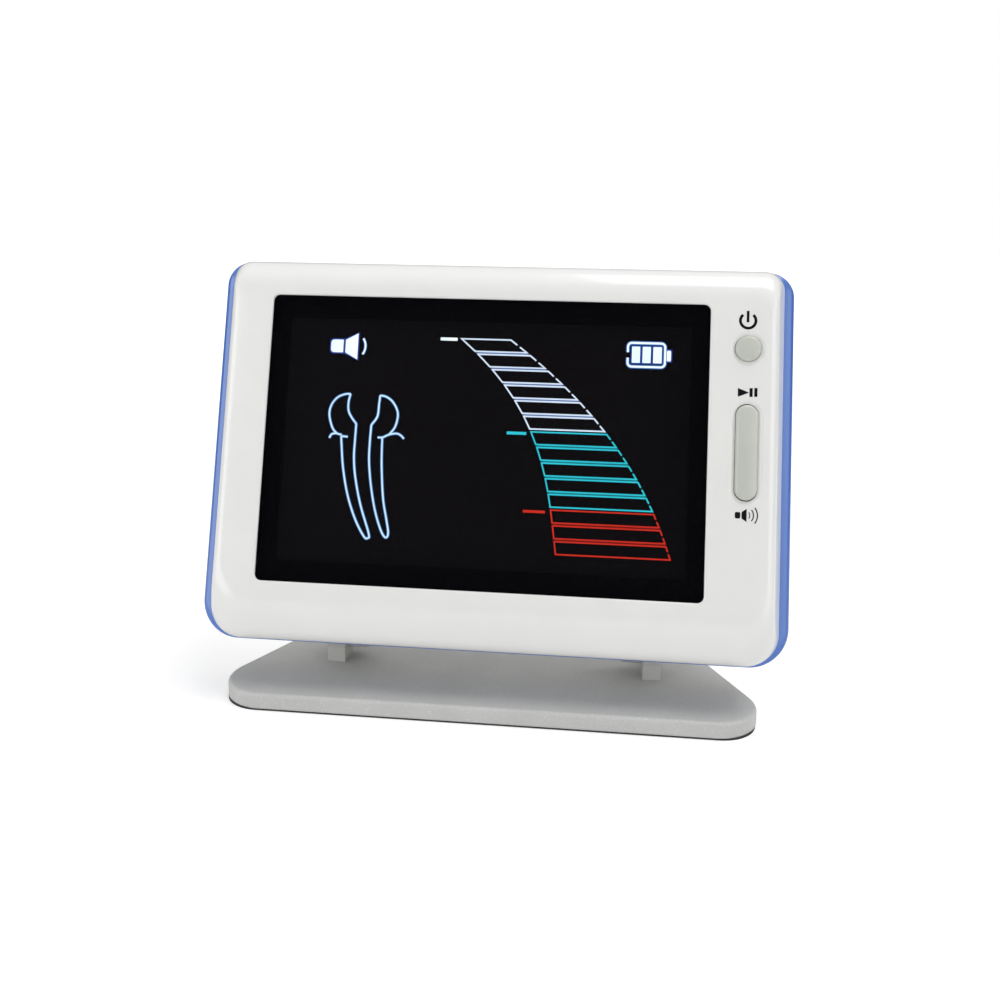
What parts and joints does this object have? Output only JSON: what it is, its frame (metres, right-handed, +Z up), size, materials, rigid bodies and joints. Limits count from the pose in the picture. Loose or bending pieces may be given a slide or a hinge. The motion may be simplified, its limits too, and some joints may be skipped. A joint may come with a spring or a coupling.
{
  "type": "apex locator",
  "caption": "Desk-top dental apex locator: a display head with push buttons that tilts on two friction hinges over a tapered base plate.",
  "frame": {"origin": "on the table, under the middle of the base plate's rubber pad", "axes": "+Z up, -Y the way the screen faces, +X to the right of someone who looks at the screen"},
  "size_m": [0.1276, 0.072, 0.0949],
  "materials": {
    "shell_white": "smooth glossy white moulding",
    "trim_blue": "glossy tinted blue moulding",
    "screen_glass": "polished clear window, dark behind",
    "screen_black": "black display panel",
    "seal_black": "foam rubber",
    "diffuser_white": "matte",
    "flex_amber": "film",
    "key_grey": "satin",
    "switch_black": "matte",
    "plunger_brown": "matte",
    "steel": "bright",
    "board_green": "solder mask",
    "cell_silver": "foil pouch",
    "header_white": "matte",
    "lead_red": "insulated wire",
    "socket_black": "matte",
    "hinge_grey": "satin paint",
    "washer_nylon": "nylon",
    "base_grey": "fine textured paint",
    "pad_black": "anti-slip rubber"
  },
  "bodies": {
    "base": {"base_plate": "base_grey", "base_pad": "pad_black", "ear_screws": "steel", "hinge_ear_left": "hinge_grey", "hinge_ear_right": "hinge_grey", "hinge_pin_left": "steel", "hinge_pin_right": "steel", "hinge_washers": "washer_nylon"},
    "head": {"backlight": "diffuser_white", "battery_cell": "cell_silver", "battery_door": "shell_white", "battery_door_screw": "steel", "battery_header": "header_white", "battery_leads": "lead_red", "board_chips": "switch_black", "board_screws": "steel", "case_screws": "steel", "charge_socket": "steel", "front_cover": "shell_white", "hinge_leaf_left": "hinge_grey", "hinge_leaf_right": "hinge_grey", "lcd_flex": "flex_amber", "lcd_panel": "screen_black", "leaf_screws": "steel", "main_board": "board_green", "play_switch": "switch_black", "power_switch": "switch_black", "probe_lead_socket": "socket_black", "rear_cover": "shell_white", "rocker_pin": "steel", "screen_gasket": "seal_black", "screen_lens": "screen_glass", "speaker": "switch_black", "speaker_header": "header_white", "speaker_leads": "lead_red", "trim_frame": "trim_blue", "volume_switch": "switch_black"},
    "power_key": {"power_button": "key_grey", "power_plunger": "plunger_brown"},
    "rocker_key": {"rocker_button": "key_grey", "rocker_plungers": "plunger_brown"}
  },
  "joints": [
    {"name": "head_tilt", "type": "hinge", "parent": "base", "child": "head", "pos_m": [0, -0.01317, 0.00948], "axis": [-1, 0, 0], "range_deg": [-15, 70]},
    {"name": "power_press", "type": "slide", "parent": "head", "child": "power_key", "axis": [0, 0.9548, -0.2974], "range_m": [0, 0.0004], "stiffness_N_per_m": 4000},
    {"name": "rocker_press", "type": "hinge", "parent": "head", "child": "rocker_key", "pos_m": [0.053, -0.01983, 0.05738], "axis": [1, 0, 0], "range_deg": [-2.8, 2.8], "stiffness_Nm_per_rad": 0.25}
  ]
}
